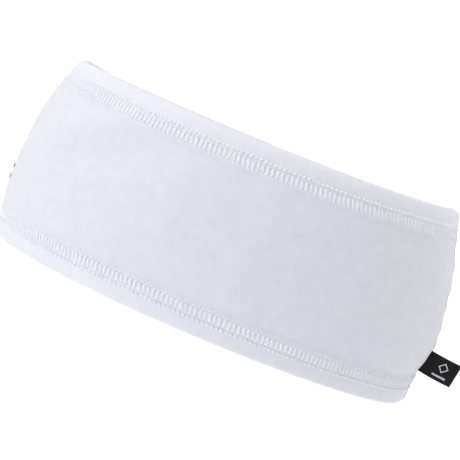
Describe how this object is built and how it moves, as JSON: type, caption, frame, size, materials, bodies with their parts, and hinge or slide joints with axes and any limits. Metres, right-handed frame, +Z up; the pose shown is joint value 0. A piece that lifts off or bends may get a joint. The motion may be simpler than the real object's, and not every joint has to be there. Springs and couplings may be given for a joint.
{
  "type": "sports headband",
  "caption": "Wide stretch headband ring in white brushed jersey with cover-stitched turned hems, a back seam, a folded black side label and a small forehead mark.",
  "frame": {"origin": "on the plane of the lower hem's fold, under the middle of the bounding box", "axes": "+Z up the wearer's head, +X towards the back seam and its label, -X towards the forehead, +Y to the wearer's right ear"},
  "size_m": [0.2102, 0.1659, 0.084],
  "materials": {
    "brushed_jersey": "matt, softly brushed white stretch jersey",
    "polyester_thread": "textured white polyester sewing thread",
    "black_woven_satin": "black damask-woven ribbon with a pale grey woven mark",
    "white_satin_ribbon": "plain white satin ribbon",
    "transfer_film": "thin dark grey heat-transfer film"
  },
  "bodies": {
    "band": {"band_fabric": "brushed_jersey", "upper_hem_outer_needle_thread": "polyester_thread", "upper_hem_cover_thread": "polyester_thread", "upper_hem_inner_needle_thread": "polyester_thread", "upper_hem_looper_thread": "polyester_thread", "lower_hem_outer_needle_thread": "polyester_thread", "lower_hem_cover_thread": "polyester_thread", "lower_hem_inner_needle_thread": "polyester_thread", "lower_hem_looper_thread": "polyester_thread", "back_seam_needle_thread": "polyester_thread", "back_seam_upper_looper_thread": "polyester_thread", "back_seam_lower_looper_thread": "polyester_thread", "front_mark_upper_bar": "transfer_film", "front_mark_lower_bar": "transfer_film"},
    "label_flag": {"woven_label": "black_woven_satin"},
    "care_tab": {"care_label": "white_satin_ribbon"}
  },
  "joints": [
    {"name": "label_flip", "type": "hinge", "parent": "band", "child": "label_flag", "pos_m": [0.0905, 0, 0.0205], "axis": [0.1496, 0, 0.9887], "range_deg": [-80, 80], "stiffness_Nm_per_rad": 0.0001},
    {"name": "care_tab_turn", "type": "hinge", "parent": "band", "child": "care_tab", "pos_m": [0.0879, -0.00097, 0.04], "axis": [0.1049, 0, -0.9945], "range_deg": [0, 110], "stiffness_Nm_per_rad": 0.00005}
  ]
}
